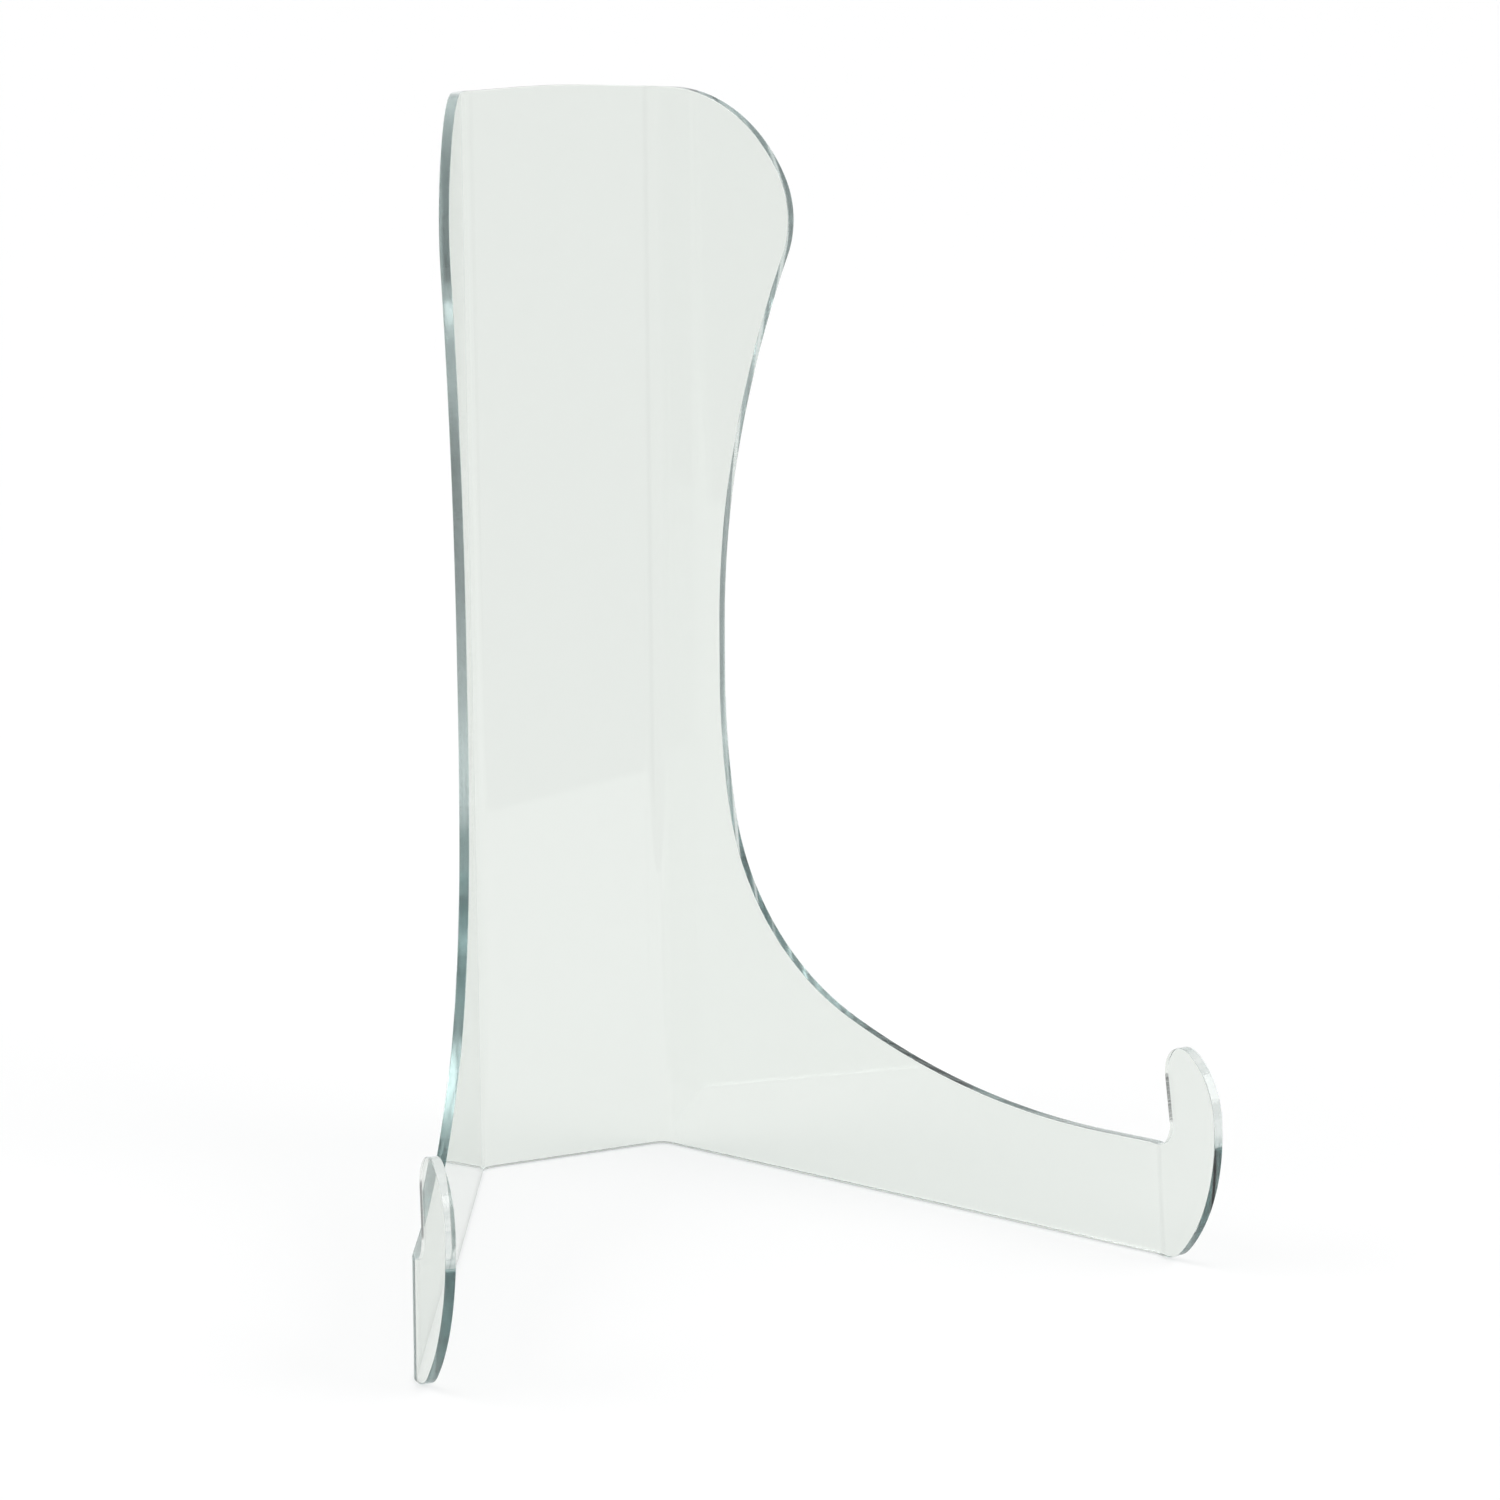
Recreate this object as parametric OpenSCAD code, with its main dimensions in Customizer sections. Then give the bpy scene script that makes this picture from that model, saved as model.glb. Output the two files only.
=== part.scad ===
// Plate display stand, cut and heat bent from one clear acrylic sheet.
// +Z is up, the plate faces -Y, and the stand mirrors about X = 0.
// Each node is one flat panel or one bend of the sheet, and neighbours share a face.

/* [Sheet] */
// Thickness of the sheet
sheet_t = 3; // [2:0.5:5]
// Inside radius of all four bends
bend_r = 6; // [3:0.5:8]

/* [Back panel] */
// Height of the stand at its back bends
stand_h = 340; // [320:5:420]
// Width of the back panel, measured between the corners of the plate side
back_w = 63; // [40:1:120]
// Rise of the arched top edge at its middle
crown = 1.2; // [0.4:0.2:4]

/* [Wings] */
// Angle that each wing splays outward from straight ahead
splay = 27; // [15:1:40]
// Distance along the wing from the back corner to the hook fold
leg_len = 188.5; // [175:0.5:240]
// Height of the leg at the notch
notch_h = 34.4; // [26:0.2:44]
// Flat run of the top edge before the corner starts
corner_start = 5.5; // [5.5:0.5:10]

/* [Hooks] */
// Angle that each hook folds inward from its wing
hook_fold = 22.5; // [10:0.5:35]
// Lean of the fold line back toward the plate
fold_lean = 4; // [0:0.5:6]
// Lean of the hook's inner edge toward the plate
hook_lean = 8.5; // [5:0.5:14]
// Radius of the notch that the rim sits in
notch_r = 7.5; // [5:0.5:10]

/* [Hidden] */
arc_step = 3;
clear_acrylic = [0.82, 0.92, 0.89, 0.6];

// Tangent arcs as [radius, turn], with a turn to the left positive.
// The wing's front edge, from the top edge down to the waist.
head_arcs = [[49, -62], [27.4, -51], [342, 10], [272, 13]];
// The same edge, from the waist down to the leg.
sweep_arcs = [[242, 10.4], [81, 55.4], [227, 24.2]];
// The hook's outer edge, from the foot up and over the tip to the inner edge.
hook_turn = 270 + hook_lean;
tip_arcs = [[15.4, 46], [57.5, 48], [21.2, 59], [8.8, hook_turn - 153]];
notch_arc = [[notch_r, 180 - hook_turn]];

// Points along a run of tangent arcs, without the starting point.
function run(arcs, at, heading, i = 0) =
    i == len(arcs) ? [] :
    let (r = arcs[i][0], turn = arcs[i][1], side = sign(turn),
         centre = at + side * r * [-sin(heading), cos(heading)],
         n = ceil(abs(turn) / arc_step),
         pts = [for (k = [1:n])
                let (a = heading + turn * k / n)
                centre + side * r * [sin(a), -cos(a)]])
    concat(pts, run(arcs, pts[n - 1], heading + turn, i + 1));
function last(pts) = pts[len(pts) - 1];

// Flats stop this far short of the virtual corner of a bend.
back_bend = 90 - splay;
back_inset = bend_r * tan(back_bend / 2);
fold_inset = bend_r * tan(hook_fold / 2);
// The foot stays level, so the fold line leans a little less across the hook.
hook_side_lean = atan(cos(hook_fold) * tan(fold_lean));
wing_end = leg_len - fold_inset / cos(fold_lean);
hook_start = fold_inset / cos(hook_side_lean);

// Outline of a wing: distance from the back corner, and height.
head_pts = run(head_arcs, [corner_start, stand_h], 0);
waist = last(head_pts)[0];
sweep_drop = last(run(sweep_arcs, [0, 0], -90))[1];
sweep_pts = run(sweep_arcs, [waist, notch_h - sweep_drop], -90);
wing_outline = concat(
    [[back_inset, 0], [back_inset, stand_h], [corner_start, stand_h]],
    head_pts,
    [[waist, notch_h - sweep_drop]],
    sweep_pts,
    [[wing_end - notch_h * tan(fold_lean), notch_h], [wing_end, 0]]);

// Outline of a hook: distance from the foot of the fold, and height.
tip_end = last(run(tip_arcs, [0, 0], 0));
notch_run = last(run(notch_arc, [0, 0], hook_turn));
inner_len = (tip_end[1] + notch_run[1] - notch_h) / -sin(hook_turn);
inner_run = inner_len * [cos(hook_turn), sin(hook_turn)];
// The notch runs out at the fold, unless the level run of the foot would then be too short.
fold_top = hook_start - notch_h * tan(hook_side_lean);
toe = max(hook_start + 0.2, fold_top - tip_end[0] - inner_run[0] - notch_run[0]);
tip_pts = run(tip_arcs, [toe, 0], 0);
notch_pts = run(notch_arc, last(tip_pts) + inner_run, hook_turn);
hook_outline = concat(
    [[hook_start, 0], [toe, 0]],
    tip_pts,
    [last(tip_pts) + inner_run],
    notch_pts,
    last(notch_pts)[0] > fold_top + 0.01 ? [[fold_top, notch_h]] : []);

// Furthest reach of the hook past the fold, where its outer edge is upright.
toe_turn = tip_arcs[0][1];
hook_reach = toe + tip_arcs[0][0] * sin(toe_turn) + tip_arcs[1][0] * (1 - sin(toe_turn));
// Centre of the footprint, measured forward from the plate side of the back panel.
depth_front = leg_len * cos(splay) + hook_reach * cos(splay - hook_fold);
centre_y = (depth_front - sheet_t) / 2;

// Outline of the back panel: distance from the middle, and height.
panel_half = back_w / 2 - back_inset;
crown_r = (panel_half * panel_half + crown * crown) / (2 * crown);
crown_half_turn = asin(panel_half / crown_r);
crown_pts = [for (k = [-6:6])
             let (a = crown_half_turn * k / 6)
             [crown_r * sin(a), stand_h + crown - crown_r * (1 - cos(a))]];
panel_outline = concat([[-panel_half, 0]], crown_pts, [[panel_half, 0]]);

// A flat of the sheet, running along +X with its plate side on the plane Y = 0.
module flat(outline) {
    rotate([90, 0, 0])
        translate([0, 0, -sheet_t])
            linear_extrude(sheet_t) polygon(outline);
}

// A bend of the sheet about +Z, which starts on the sheet's flat before it.
// That flat runs along +X and ends at the origin, on its plate side.
module bend(bottom, top, angle) {
    translate([0, -bend_r, bottom])
        rotate([0, 0, 90 - angle])
            rotate_extrude(angle = angle, $fn = 96)
                translate([bend_r, 0]) square([sheet_t, top - bottom]);
}

// Turns a child of the right wing to run along the wing from the back corner.
module along_wing() {
    translate([back_w / 2, 0, 0]) rotate([0, 0, -back_bend]) children();
}

// Moves a child so that +Z is the fold line at the foot of the hook.
module at_fold() {
    along_wing() translate([leg_len, 0, 0]) rotate([0, -fold_lean, 0]) children();
}

module in_frame() {
    translate([0, centre_y, 0]) color(clear_acrylic) children();
}

module left_side() {
    mirror([1, 0, 0]) children();
}

module back_panel() {
    in_frame() flat(panel_outline);
}

module back_bend() {
    in_frame() translate([panel_half, 0, 0]) bend(0, stand_h, back_bend);
}

module wing() {
    in_frame() along_wing() flat(wing_outline);
}

module hook_bend() {
    in_frame() intersection() {
        at_fold() translate([-fold_inset, 0, 0]) bend(-3, notch_h + 3, hook_fold);
        translate([0, -leg_len, 0]) cube([leg_len, leg_len, notch_h]);
    }
}

module hook() {
    in_frame() at_fold()
        rotate([0, 0, -hook_fold]) rotate([0, hook_side_lean, 0]) flat(hook_outline);
}

back_panel();
left_side() back_bend();  // left_back_bend
left_side() wing();  // left_wing
left_side() hook_bend();  // left_hook_bend
left_side() hook();  // left_hook
back_bend();  // right_back_bend
wing();  // right_wing
hook_bend();  // right_hook_bend
hook();  // right_hook
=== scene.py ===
"""Clear acrylic plate display stand: one sheet, cut to outline and bent along four lines."""
from math import atan, ceil, cos, hypot, pi, radians, sin, tan

import bmesh
import bpy
from mathutils import Matrix, Vector


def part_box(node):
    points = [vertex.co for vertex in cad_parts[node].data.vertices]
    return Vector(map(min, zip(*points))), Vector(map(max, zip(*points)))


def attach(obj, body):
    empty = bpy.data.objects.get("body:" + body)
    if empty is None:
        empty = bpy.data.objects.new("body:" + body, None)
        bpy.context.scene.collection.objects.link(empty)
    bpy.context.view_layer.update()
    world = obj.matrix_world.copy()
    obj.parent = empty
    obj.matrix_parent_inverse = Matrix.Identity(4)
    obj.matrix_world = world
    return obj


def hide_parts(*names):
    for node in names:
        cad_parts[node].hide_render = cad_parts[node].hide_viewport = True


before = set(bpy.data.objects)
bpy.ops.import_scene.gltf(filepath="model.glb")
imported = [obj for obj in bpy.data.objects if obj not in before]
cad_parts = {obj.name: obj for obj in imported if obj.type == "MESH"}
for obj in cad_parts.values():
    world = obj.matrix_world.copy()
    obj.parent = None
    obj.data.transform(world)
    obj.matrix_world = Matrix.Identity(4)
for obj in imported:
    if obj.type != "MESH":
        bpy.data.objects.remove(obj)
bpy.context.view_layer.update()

MM = 0.001
PLATE_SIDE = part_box("back_panel")[0][1]

# ---- The design, in millimetres -----------------------------------------------------------
SHEET_T = 3.0
BEND_R = 6.0                           # inside radius of all four bends
STAND_H = 340.0
BACK_W = 63.0                          # between the corners of the plate side
CROWN = 1.2                            # rise of the top edge at its middle
SPLAY = radians(27)                    # of each wing, outward from straight ahead
LEG_LEN = 188.5                        # along the wing, from the back corner to the hook fold
NOTCH_H = 34.4
NOTCH_R = 7.5
CORNER_START = 5.5                     # end of the level top edge, along the wing
HOOK_FOLD = radians(22.5)
FOLD_LEAN = radians(4)                 # of the fold line, back toward the plate
LEAST_TOE = 0.2                        # shortest level run of the foot past the fold
HOOK_TURN = 270 + 8.5                  # heading of the hook's inner edge, in degrees

# Tangent arcs as (radius, turn in degrees), with a turn to the left positive.
HEAD = [(49, -62), (27.4, -51), (342, 10), (272, 13)]
SWEEP = [(242, 10.4), (81, 55.4), (227, 24.2)]
TIP = [(15.4, 46), (57.5, 48), (21.2, 59), (8.8, HOOK_TURN - 153)]
NOTCH = [(NOTCH_R, 180 - HOOK_TURN)]

BEND = pi / 2 - SPLAY                  # turn of a back bend
BEND_IN = BEND_R * tan(BEND / 2)       # a flat stops this far short of the bend's corner
FOLD_IN = BEND_R * tan(HOOK_FOLD / 2)
BEND_LEN = (BEND_R + SHEET_T / 2) * BEND        # length of the sheet in a bend, at mid thickness
FOLD_LEN = (BEND_R + SHEET_T / 2) * HOOK_FOLD
BACK_HALF = BACK_W / 2 - BEND_IN
WING_START = BACK_HALF + BEND_LEN      # on the flat blank, out from its middle
SIDE_LEAN = atan(cos(HOOK_FOLD) * tan(FOLD_LEAN))   # of the fold line, across the level hook

# ---- How finely the sheet is meshed, in millimetres ---------------------------------------
EASE = 0.15                            # the eased corner along every cut edge
FOOT_STEP = 4.0
EDGE_STEP = 1.6
TIP_STEP = 0.8
INNER_STEP = 1.0
STEP_TURN = 4                          # most degrees between points on an arc
NEAREST = 0.05                         # points closer than this are joined
BEND_STRIPS = 24
FOLD_STRIPS = 10


def run(arcs, at, heading, step=EDGE_STEP):
    """Points along tangent arcs, without the starting point."""
    (x, z), h, pts = at, radians(heading), []
    for r, turn in arcs:
        a, side = radians(turn), (1 if turn > 0 else -1)
        cx, cz = x - side * r * sin(h), z + side * r * cos(h)
        n = max(ceil(abs(turn) / STEP_TURN), ceil(abs(a) * r / step))
        for k in range(1, n + 1):
            b = h + a * k / n
            pts.append((cx + side * r * sin(b), cz - side * r * cos(b)))
        (x, z), h = pts[-1], h + a
    return pts


def along(a, b, step):
    """Points from a to b, with b and without a."""
    n = max(1, ceil(hypot(b[0] - a[0], b[1] - a[1]) / step))
    return [(a[0] + (b[0] - a[0]) * k / n, a[1] + (b[1] - a[1]) * k / n) for k in range(1, n + 1)]


# ---- Outline of the flat blank ------------------------------------------------------------
def blank_of_wing(p):
    """A wing's point, out from the back corner and up, on the flat blank."""
    return WING_START + p[0] - BEND_IN, p[1]


def blank_of_hook(p):
    """A hook's point on the flat blank. It is given level, out from the foot of the fold."""
    x = p[0] * cos(SIDE_LEAN) + p[1] * sin(SIDE_LEAN) - 2 * FOLD_IN + FOLD_LEN
    z = p[1] * cos(SIDE_LEAN) - p[0] * sin(SIDE_LEAN)
    s = LEG_LEN + x * cos(FOLD_LEAN) - z * sin(FOLD_LEAN)
    return blank_of_wing((s, x * sin(FOLD_LEAN) + z * cos(FOLD_LEAN)))


def hook_edge():
    """The hook's edge from its foot, up and over the tip, and down to the end of the notch."""
    turn = radians(HOOK_TURN)
    tip_end = run(TIP, (0, 0), 0)[-1]
    notch_run = run(NOTCH, (0, 0), HOOK_TURN)[-1]
    inner_len = (tip_end[1] + notch_run[1] - NOTCH_H) / -sin(turn)
    inner_run = (inner_len * cos(turn), inner_len * sin(turn))
    # The notch runs out at the fold, and that sets the level run of the foot.
    fold_foot = FOLD_IN / cos(SIDE_LEAN)
    fold_top = fold_foot - NOTCH_H * tan(SIDE_LEAN)
    toe = max(fold_foot + LEAST_TOE, fold_top - tip_end[0] - inner_run[0] - notch_run[0])
    tip = run(TIP, (toe, 0), 0, TIP_STEP)
    notch_start = (tip[-1][0] + inner_run[0], tip[-1][1] + inner_run[1])
    inner = along(tip[-1], notch_start, INNER_STEP)
    return [(toe, 0)] + tip + inner + run(NOTCH, notch_start, HOOK_TURN, TIP_STEP)


def wing_edge():
    """The wing's front edge, from the top edge down past the waist to the leg."""
    head = run(HEAD, (CORNER_START, STAND_H), 0)
    drop = run(SWEEP, (0, 0), -90)[-1][1]
    waist = (head[-1][0], NOTCH_H - drop)
    return head + along(head[-1], waist, EDGE_STEP) + run(SWEEP, waist, -90)


def half_outline():
    """The right half of the blank, from the middle of its foot to the middle of its top edge."""
    foot = along((0, 0), blank_of_wing((LEG_LEN, 0)), FOOT_STEP)
    hook = [blank_of_hook(p) for p in hook_edge()]
    front = [blank_of_wing(p) for p in reversed(wing_edge())]
    leg_top = along(hook[-1], front[0], EDGE_STEP)[:-1]
    corner = blank_of_wing((CORNER_START, STAND_H))
    top = [corner]
    for u, _ in along(corner, (0, STAND_H), EDGE_STEP):
        top.append((u, STAND_H + CROWN * (1 + cos(pi * u / corner[0])) / 2))
    return foot[:-1] + hook + leg_top + front + top


def whole_outline():
    """Both halves of the blank, without points that all but coincide."""
    right = half_outline()
    clean = []
    for p in right + [(-u, z) for u, z in reversed(right[:-1])]:
        if not clean or hypot(p[0] - clean[-1][0], p[1] - clean[-1][1]) > NEAREST:
            clean.append(p)
    return clean


# ---- Bending the blank --------------------------------------------------------------------
def turn_z(a):
    """A turn about +Z, clockwise from above."""
    return Matrix(((cos(a), sin(a), 0), (-sin(a), cos(a), 0), (0, 0, 1)))


LEANING = Matrix(((cos(FOLD_LEAN), 0, -sin(FOLD_LEAN)),
                  (0, 1, 0),
                  (sin(FOLD_LEAN), 0, cos(FOLD_LEAN))))
ALONG_WING = Matrix(((sin(SPLAY), cos(SPLAY), 0), (-cos(SPLAY), sin(SPLAY), 0), (0, 0, 1)))
MIRROR = Matrix.Diagonal((-1, 1, 1))


def crease(s, z):
    """A wing's point as distance past the fold line, and height along it."""
    past = (s - LEG_LEN) * cos(FOLD_LEAN) + z * sin(FOLD_LEAN)
    return past, z * cos(FOLD_LEAN) - (s - LEG_LEN) * sin(FOLD_LEAN)


def roll(u, w, z):
    """A point of the blank at u, depth w from the plate side and height z, in the bent stand,
    with the directions that u, w and z take there."""
    side, u = (-1 if u < 0 else 1), abs(u)
    if u <= WING_START:
        a = max(0.0, u - BACK_HALF) / BEND_LEN * BEND
        x = min(u, BACK_HALF) + (BEND_R + w) * sin(a) if a else u
        y = (BEND_R + w) * cos(a) - BEND_R if a else w
        place, axes = Vector((x, y, z)), turn_z(a)
    else:
        c, v = crease(BEND_IN + u - BACK_HALF - BEND_LEN, z)
        a = min(max(c + FOLD_IN, 0.0), FOLD_LEN) / FOLD_LEN * HOOK_FOLD
        past = max(0.0, c + FOLD_IN - FOLD_LEN)
        x = min(c, -FOLD_IN) + (BEND_R + w) * sin(a) + past * cos(a)
        y = (BEND_R + w) * cos(a) - BEND_R - past * sin(a)
        on_wing = LEANING @ Vector((x, y, v)) + Vector((LEG_LEN, 0, 0))
        place = ALONG_WING @ on_wing + Vector((BACK_W / 2, 0, 0))
        axes = ALONG_WING @ LEANING @ turn_z(a) @ LEANING.transposed()
    if side < 0:
        place.x *= side
        axes = MIRROR @ axes @ MIRROR
    return place, axes


# ---- Mesh of the sheet --------------------------------------------------------------------
FLAT_FACE, EASED, CUT = 0, 1, 2        # what a face of the mesh belongs to


def flat_blank():
    """The blank as a flat plate with eased corners, its plate side on y = 0."""
    bm = bmesh.new()
    face = bm.faces.new([bm.verts.new((u, 0, z)) for u, z in whole_outline()])
    face.normal_update()
    if face.normal.y > 0:
        face.normal_flip()
    for made in bmesh.ops.extrude_face_region(bm, geom=[face])["geom"]:
        if isinstance(made, bmesh.types.BMVert):
            made.co.y = SHEET_T
    bm.normal_update()
    bmesh.ops.recalc_face_normals(bm, faces=bm.faces[:])
    corners = [e for e in bm.edges if abs(e.verts[0].co.y - e.verts[1].co.y) < 1e-6]
    bmesh.ops.bevel(bm, geom=corners, offset=EASE, segments=2, profile=0.5, affect="EDGES")
    return bm


def cut(bm, point, normal):
    """Splits every face where a plane crosses it."""
    parts = bm.verts[:] + bm.edges[:] + bm.faces[:]
    bmesh.ops.bisect_plane(bm, geom=parts, dist=1e-5, plane_co=point, plane_no=normal)


def cut_strips(bm):
    """Strips across the four bends, and the lines where they start and end."""
    for k in range(BEND_STRIPS + 1):
        u = BACK_HALF + BEND_LEN * k / BEND_STRIPS
        cut(bm, (u, 0, 0), (1, 0, 0))
        cut(bm, (-u, 0, 0), (1, 0, 0))
    fold_foot = WING_START - BEND_IN + LEG_LEN
    for k in range(FOLD_STRIPS + 1):
        u = fold_foot + (FOLD_LEN * k / FOLD_STRIPS - FOLD_IN) / cos(FOLD_LEAN)
        cut(bm, (u, 0, 0), (cos(FOLD_LEAN), 0, sin(FOLD_LEAN)))
        cut(bm, (-u, 0, 0), (-cos(FOLD_LEAN), 0, sin(FOLD_LEAN)))


def kind_of(face):
    """Which surface a face is on, told by its normal in the flat blank."""
    across = abs(face.normal.y)
    return FLAT_FACE if across > 0.98 else CUT if across < 0.02 else EASED


def corner_normals(bm, kinds):
    """The index of each face corner's vertex, and its normal in the flat blank. The cut edge is
    smooth around curves and sharp at corners."""
    around = {}
    for f in bm.faces:
        if kinds[f.index] == CUT:
            for v in f.verts:
                around.setdefault(v.index, []).append(f.normal.copy())
    normals = []
    for f in bm.faces:
        for loop in f.loops:
            v = loop.vert
            if kinds[f.index] == FLAT_FACE:
                n = Vector((0, f.normal.y, 0))
            elif kinds[f.index] == CUT:
                n = sum((m for m in around[v.index] if m.dot(f.normal) > 0.8), Vector())
            else:
                n = f.normal.copy()
            normals.append((v.index, n.normalized()))
    return normals


def build_sheet():
    """The bent sheet. It keeps each point's place on the blank, and which faces are cut edge."""
    bm = flat_blank()
    cut_strips(bm)
    bm.normal_update()
    bm.faces.index_update()
    bm.verts.index_update()
    kinds = [kind_of(f) for f in bm.faces]
    normals = corner_normals(bm, kinds)
    flat = [tuple(v.co) for v in bm.verts]
    bent = [roll(*p) for p in flat]
    for v, (p, _) in zip(bm.verts, bent):
        v.co = (p.x * MM, p.y * MM + PLATE_SIDE, p.z * MM)
    mesh = bpy.data.meshes.new("bent_sheet")
    bm.to_mesh(mesh)
    bm.free()
    mesh.normals_split_custom_set([tuple((bent[i][1] @ n).normalized()) for i, n in normals])
    blank = mesh.attributes.new("blank", "FLOAT_VECTOR", "POINT")
    for i, (u, w, z) in enumerate(flat):
        blank.data[i].vector = (u * MM, w * MM, z * MM)
    rim = mesh.attributes.new("rim", "FLOAT", "FACE")
    for i, kind in enumerate(kinds):
        rim.data[i].value = 0.0 if kind == FLAT_FACE else 1.0
    return mesh


# ---- Node helpers -------------------------------------------------------------------------
def feed(nt, value, socket):
    """Links another node's output to a socket, or sets the socket to a plain value."""
    if isinstance(value, bpy.types.NodeSocket):
        nt.links.new(value, socket)
    else:
        socket.default_value = value


def calculate(nt, operation, *values):
    """The result of a math node on outputs or numbers."""
    n = nt.nodes.new("ShaderNodeMath")
    n.operation = operation
    for socket, value in zip(n.inputs, values):
        feed(nt, value, socket)
    return n.outputs[0]


def mix(nt, factor, low, high, data_type="RGBA"):
    """Low where the factor is 0 and high where it is 1. Both are colours, or both numbers."""
    n = nt.nodes.new("ShaderNodeMix")
    n.data_type = data_type
    low_at, result_at = {"FLOAT": (2, 0), "RGBA": (6, 2)}[data_type]
    feed(nt, factor, n.inputs[0])
    feed(nt, low, n.inputs[low_at])
    feed(nt, high, n.inputs[low_at + 1])
    return n.outputs[result_at]


def ramp(nt, value, start, end, low=0.0, high=1.0, shape="LINEAR"):
    """Low up to the start of a range and high from its end."""
    n = nt.nodes.new("ShaderNodeMapRange")
    n.interpolation_type = shape
    for key, v in (("From Min", start), ("From Max", end), ("To Min", low), ("To Max", high)):
        n.inputs[key].default_value = v
    nt.links.new(value, n.inputs["Value"])
    return n.outputs["Result"]


def noise(nt, place, scale, detail, roughness):
    """Noise with about so many features per metre along each axis of the place."""
    spread = nt.nodes.new("ShaderNodeMapping")
    spread.inputs["Scale"].default_value = scale
    nt.links.new(place, spread.inputs["Vector"])
    n = nt.nodes.new("ShaderNodeTexNoise")
    for key, v in (("Scale", 1.0), ("Detail", detail), ("Roughness", roughness)):
        n.inputs[key].default_value = v
    nt.links.new(spread.outputs["Vector"], n.inputs["Vector"])
    return n.outputs["Fac"]


# ---- Clear acrylic ------------------------------------------------------------------------
ACRYLIC_IOR = 1.49
SAW_MARKS = (1300, 20, 1300)           # fine lines across the thickness of the cut edge
STREAKS = (18, 1, 260)                 # long level streaks on the faces
FACE_TINT = (0.82, 0.852, 0.818, 1)
EDGE_DULL = (0.78, 0.82, 0.80, 1)
EDGE_BRIGHT = (0.96, 0.97, 0.95, 1)
EDGE_ROUGHNESS = 0.04
MOST_STREAK_ROUGHNESS = 0.05
INSIDE_COLOUR = (0.70, 0.78, 0.78, 1)
INSIDE_DENSITY = 13.0

# What passes straight through a face, and through the cut edge.
SOFT_LIGHT = (0.97, 0.972, 0.971, 1), (0.9, 0.92, 0.92, 1)
LAMP_LIGHT = (0.93, 0.935, 0.933, 1), (0.55, 0.57, 0.57, 1)


def acrylic():
    """Refracting glass with absorption inside. Shadow and diffuse rays go straight through it."""
    mat = bpy.data.materials.new("clear_acrylic")
    mat.use_nodes = True
    nt = mat.node_tree
    nt.nodes.clear()
    blank = nt.nodes.new("ShaderNodeAttribute")
    blank.attribute_name = "blank"
    rim = nt.nodes.new("ShaderNodeAttribute")
    rim.attribute_name = "rim"

    def by_rim(face, edge, data_type="RGBA"):
        """One value on the faces, and another on the cut edge."""
        return mix(nt, rim.outputs["Fac"], face, edge, data_type)

    saw = noise(nt, blank.outputs["Vector"], SAW_MARKS, 3.0, 0.6)
    streak = noise(nt, blank.outputs["Vector"], STREAKS, 4.0, 0.55)
    bump = nt.nodes.new("ShaderNodeBump")
    bump.inputs["Strength"].default_value = 0.35
    bump.inputs["Distance"].default_value = 0.0001
    nt.links.new(by_rim(0.5, saw, "FLOAT"), bump.inputs["Height"])

    glass = nt.nodes.new("ShaderNodeBsdfPrincipled")
    glass.inputs["IOR"].default_value = ACRYLIC_IOR
    glass.inputs["Transmission Weight"].default_value = 1.0
    edge_tint = mix(nt, ramp(nt, saw, 0.38, 0.62), EDGE_DULL, EDGE_BRIGHT)
    nt.links.new(by_rim(FACE_TINT, edge_tint), glass.inputs["Base Color"])
    streak_roughness = ramp(nt, streak, 0.45, 0.8, 0.0, MOST_STREAK_ROUGHNESS)
    nt.links.new(by_rim(streak_roughness, EDGE_ROUGHNESS, "FLOAT"), glass.inputs["Roughness"])
    nt.links.new(bump.outputs["Normal"], glass.inputs["Normal"])

    # Light that goes straight through is hardly dimmed by the faces, and more by the cut edge,
    # and the lamps' direct light is dimmed more than the light from all around.
    path = nt.nodes.new("ShaderNodeLightPath")
    shadow, diffuse = path.outputs["Is Shadow Ray"], path.outputs["Is Diffuse Ray"]
    clear = nt.nodes.new("ShaderNodeBsdfTransparent")
    dimmed = mix(nt, shadow, by_rim(*SOFT_LIGHT), by_rim(*LAMP_LIGHT))
    nt.links.new(dimmed, clear.inputs["Color"])
    surface = nt.nodes.new("ShaderNodeMixShader")
    nt.links.new(calculate(nt, "MAXIMUM", shadow, diffuse), surface.inputs["Fac"])
    nt.links.new(glass.outputs["BSDF"], surface.inputs[1])
    nt.links.new(clear.outputs["BSDF"], surface.inputs[2])

    inside = nt.nodes.new("ShaderNodeVolumeAbsorption")
    inside.inputs["Color"].default_value = INSIDE_COLOUR
    inside.inputs["Density"].default_value = INSIDE_DENSITY
    out = nt.nodes.new("ShaderNodeOutputMaterial")
    nt.links.new(surface.outputs["Shader"], out.inputs["Surface"])
    nt.links.new(inside.outputs["Volume"], out.inputs["Volume"])
    return mat


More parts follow.
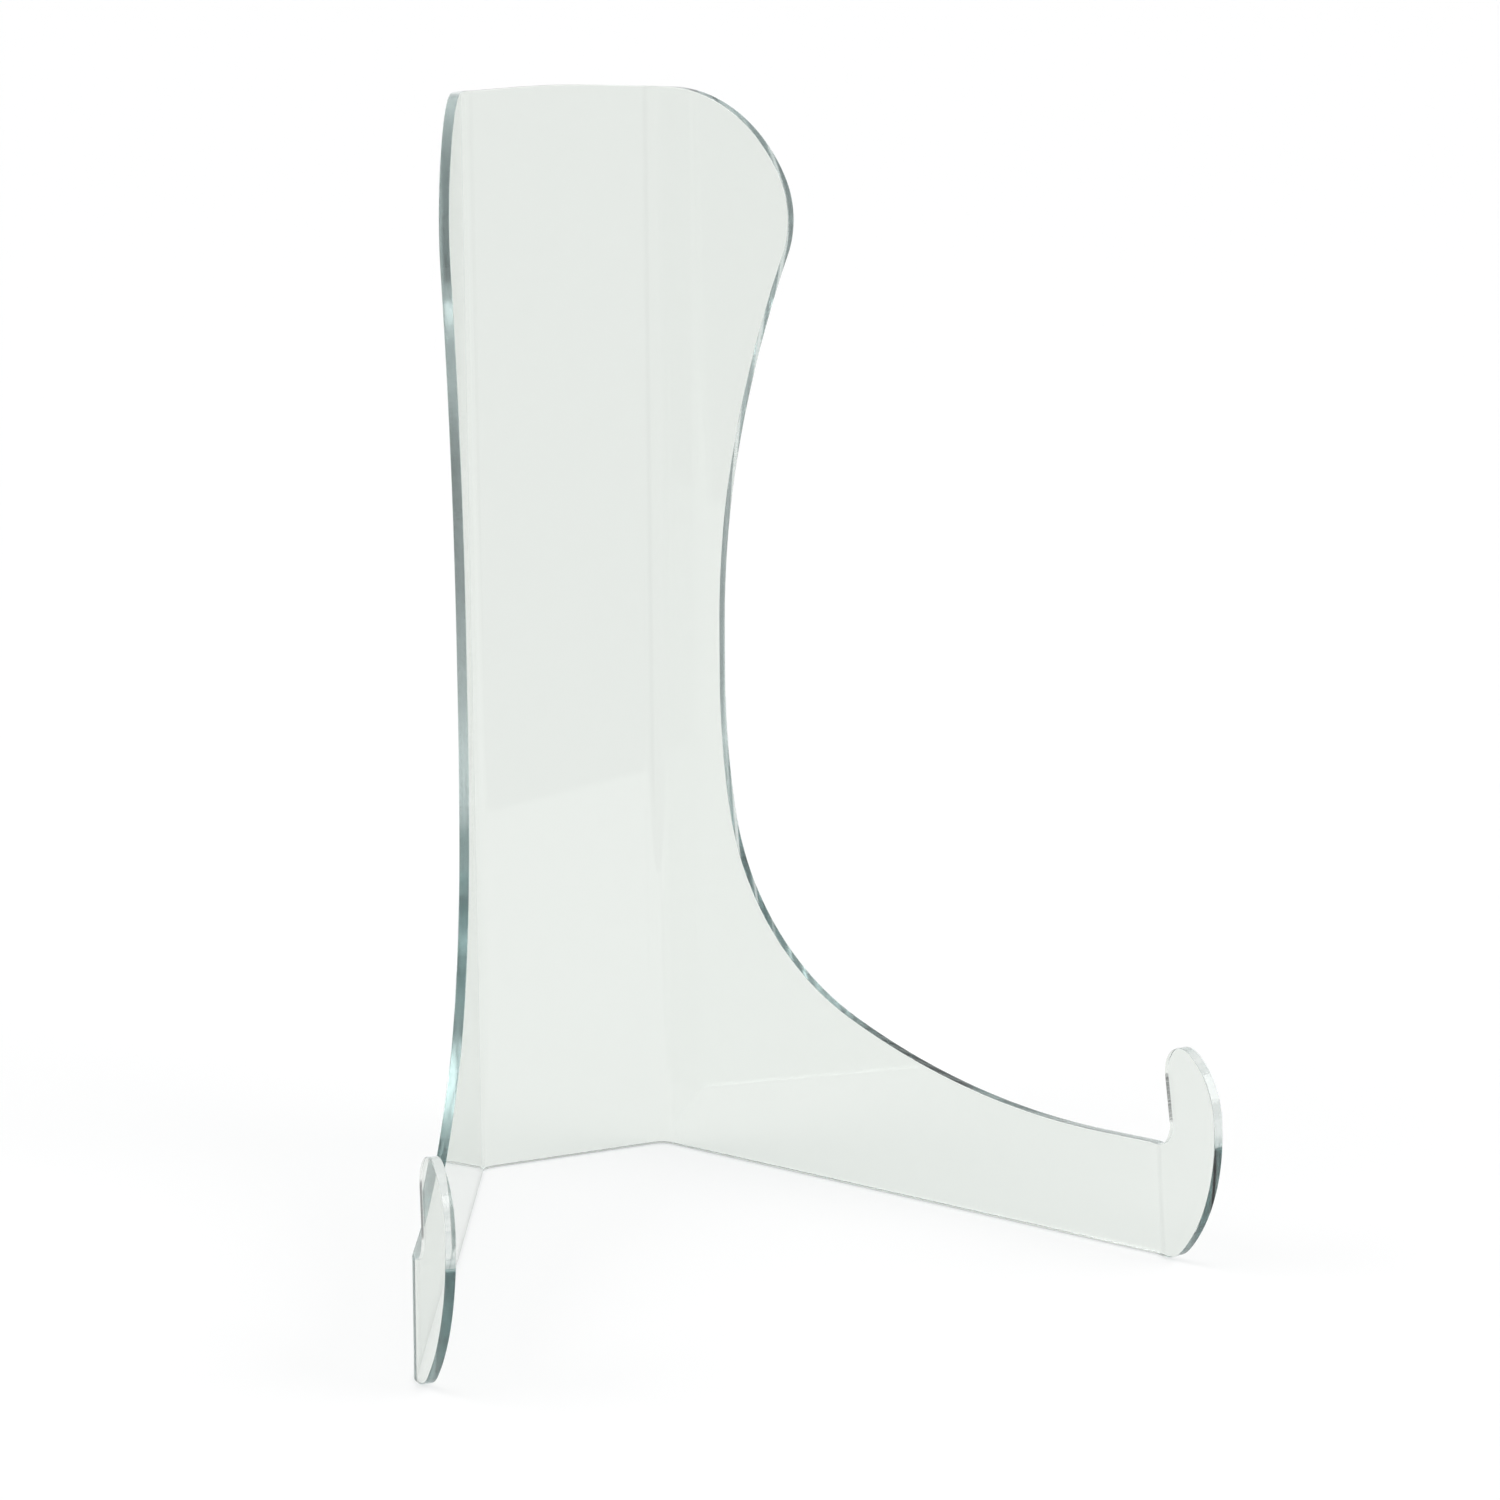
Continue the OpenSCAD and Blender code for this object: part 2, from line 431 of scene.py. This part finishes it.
mesh = build_sheet()
mesh.materials.append(acrylic())
sheet = bpy.data.objects.new("bent_acrylic_sheet", mesh)
bpy.context.scene.collection.objects.link(sheet)
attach(sheet, "root")
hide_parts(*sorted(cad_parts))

# ---- Studio, in metres, with azimuths clockwise from +Y -----------------------------------
CAMERA_YAW = radians(25.57)            # the azimuth that the camera looks along
DARK_WAY = CAMERA_YAW + pi             # the azimuth at which reflections are dark: the floor's painted dark reflection and the dimmed surround
SCREEN_WAY = radians(155)              # the azimuth of a narrow paler strip in that dark
FLOOR_WHITE = (0.92, 0.92, 0.92, 1)
# painted dark reflection: the floor's colour in front of the stand, where it is seen only in
# reflections
PAINTED_DARK_REFLECTION = (0.05, 0.055, 0.06, 1)
FLOOR_HALF = 60.0
FLOOR_GAP = 0.0004                     # the floor lies this far below the stand
ZENITH = 0.55                          # strength of the light overhead, and 1 at the horizon
DARKEST = 0.93                         # how much of the surround's light the dark side takes


def dot_azimuth(nt, vector, azimuth):
    """How far a vector reaches along an azimuth."""
    n = nt.nodes.new("ShaderNodeVectorMath")
    n.operation = "DOT_PRODUCT"
    n.inputs[1].default_value = (sin(azimuth), cos(azimuth), 0)
    nt.links.new(vector, n.inputs[0])
    return n.outputs["Value"]


def reflection_darkness(nt, vector, near, far):
    """How dark reflections are made, and 0 wherever it is seen directly. On the floor this is
    painted dark reflection; in the surround it dims the light.

    It is half dark once the vector reaches past the near range along the dark azimuth. Past the
    far range it is wholly dark for some 30 degrees to either side of the pale screen, and still
    half dark at the screen and beyond those sides.
    """
    unit = nt.nodes.new("ShaderNodeVectorMath")
    unit.operation = "NORMALIZE"
    nt.links.new(vector, unit.inputs[0])
    to_screen = dot_azimuth(nt, unit.outputs["Vector"], SCREEN_WAY)
    beside_screen = ramp(nt, to_screen, cos(radians(9)), cos(radians(5)), 0.5, 0.0)
    around_screen = ramp(nt, to_screen, cos(radians(36)), cos(radians(29)))
    reach = dot_azimuth(nt, vector, DARK_WAY)
    placed = calculate(nt, "MULTIPLY", beside_screen, around_screen)
    deep = calculate(nt, "MULTIPLY", ramp(nt, reach, *far), placed)
    both = calculate(nt, "ADD", ramp(nt, reach, *near, 0.0, 0.5), deep)
    path = nt.nodes.new("ShaderNodeLightPath")
    reflected = calculate(nt, "GREATER_THAN", path.outputs["Glossy Depth"], 0.5)
    return calculate(nt, "MULTIPLY", both, reflected)


def stage():
    """A white floor. In front of the stand its colour is painted near black where it is seen in
    reflections, a painted dark reflection.
    """
    me = bpy.data.meshes.new("floor")
    s = FLOOR_HALF
    square = [(x, y, -FLOOR_GAP) for x, y in ((-s, -s), (s, -s), (s, s), (-s, s))]
    me.from_pydata(square, [], [(0, 1, 2, 3)])
    floor = bpy.data.objects.new("floor", me)
    bpy.context.scene.collection.objects.link(floor)
    mat = bpy.data.materials.new("white_floor")
    mat.use_nodes = True
    nt = mat.node_tree
    white = nt.nodes["Principled BSDF"]
    white.inputs["Roughness"].default_value = 0.6
    white.inputs["Specular IOR Level"].default_value = 0.1
    place = nt.nodes.new("ShaderNodeNewGeometry").outputs["Position"]
    # Painted dark reflection: the floor in front turns near black, in reflections only.
    dark = reflection_darkness(nt, place, (0.270, 0.278), (0.33, 0.42))
    nt.links.new(mix(nt, dark, FLOOR_WHITE, PAINTED_DARK_REFLECTION), white.inputs["Base Color"])
    me.materials.append(mat)


def surround():
    """White all around and dimmer overhead. Its dark side is mostly low, and only reflected."""
    world = bpy.data.worlds.new("studio")
    bpy.context.scene.world = world
    world.use_nodes = True
    nt = world.node_tree
    sky = nt.nodes["Background"]
    sky.inputs["Color"].default_value = (1, 1, 1, 1)
    way = nt.nodes.new("ShaderNodeTexCoord").outputs["Generated"]
    split = nt.nodes.new("ShaderNodeSeparateXYZ")
    nt.links.new(way, split.inputs["Vector"])
    rise = split.outputs["Z"]
    fade = ramp(nt, rise, 0.12, 0.42, 1.0, ZENITH, "SMOOTHSTEP")
    low = ramp(nt, rise, 0.10, 0.20, 1.0, 0.3)
    dark = calculate(nt, "MULTIPLY", reflection_darkness(nt, way, (0.0, 0.3), (0.0, 0.3)), low)
    left = calculate(nt, "MULTIPLY_ADD", dark, -DARKEST, 1.0)
    nt.links.new(calculate(nt, "MULTIPLY", fade, left), sky.inputs["Strength"])


def lamp(name, azimuth, height, spread, strength):
    """A broad soft light from far away. Its place and its width are in degrees."""
    data = bpy.data.lights.new(name, "SUN")
    data.energy, data.angle = strength, radians(spread)
    ob = bpy.data.objects.new(name, data)
    a, h = radians(azimuth), radians(height)
    place = Vector((sin(a) * cos(h), cos(a) * cos(h), sin(h)))
    ob.location = place * 3
    ob.rotation_euler = (-place).to_track_quat("-Z", "Y").to_euler()
    bpy.context.scene.collection.objects.link(ob)


stage()
surround()
lamp("left_box", azimuth=-78, height=36, spread=40, strength=1.44)
lamp("right_box", azimuth=138, height=36, spread=40, strength=1.44)

# ---- Camera -------------------------------------------------------------------------------
CAMERA_PITCH = radians(11.90)          # downward
CAMERA_TILT = radians(-0.33)
CAMERA_PLACE = (-0.5008, PLATE_SIDE - 1.1793, 0.4030)
SENSOR_W, LENS = 36.0, 99.41           # in millimetres
BOUNCES = 64                           # the long paths inside the sheet need many


def camera():
    """The camera, in front and to the left of the stand."""
    yaw, pitch, tilt = CAMERA_YAW, CAMERA_PITCH, CAMERA_TILT
    ahead = Vector((sin(yaw) * cos(pitch), cos(yaw) * cos(pitch), -sin(pitch)))
    level = Vector((cos(yaw), -sin(yaw), 0))
    upward = level.cross(ahead)
    right = level * cos(tilt) + upward * sin(tilt)
    up = upward * cos(tilt) - level * sin(tilt)
    cam = bpy.data.cameras.new("camera")
    cam.sensor_width, cam.lens = SENSOR_W, LENS
    ob = bpy.data.objects.new("camera", cam)
    turned = Matrix((right, up, -ahead)).transposed().to_4x4()
    ob.matrix_world = Matrix.Translation(CAMERA_PLACE) @ turned
    bpy.context.scene.collection.objects.link(ob)
    bpy.context.scene.camera = ob


camera()
scene = bpy.context.scene
scene.view_settings.view_transform = "Standard"
scene.cycles.max_bounces = BOUNCES
scene.cycles.transmission_bounces = BOUNCES
scene.cycles.glossy_bounces = BOUNCES
scene.cycles.transparent_max_bounces = 16
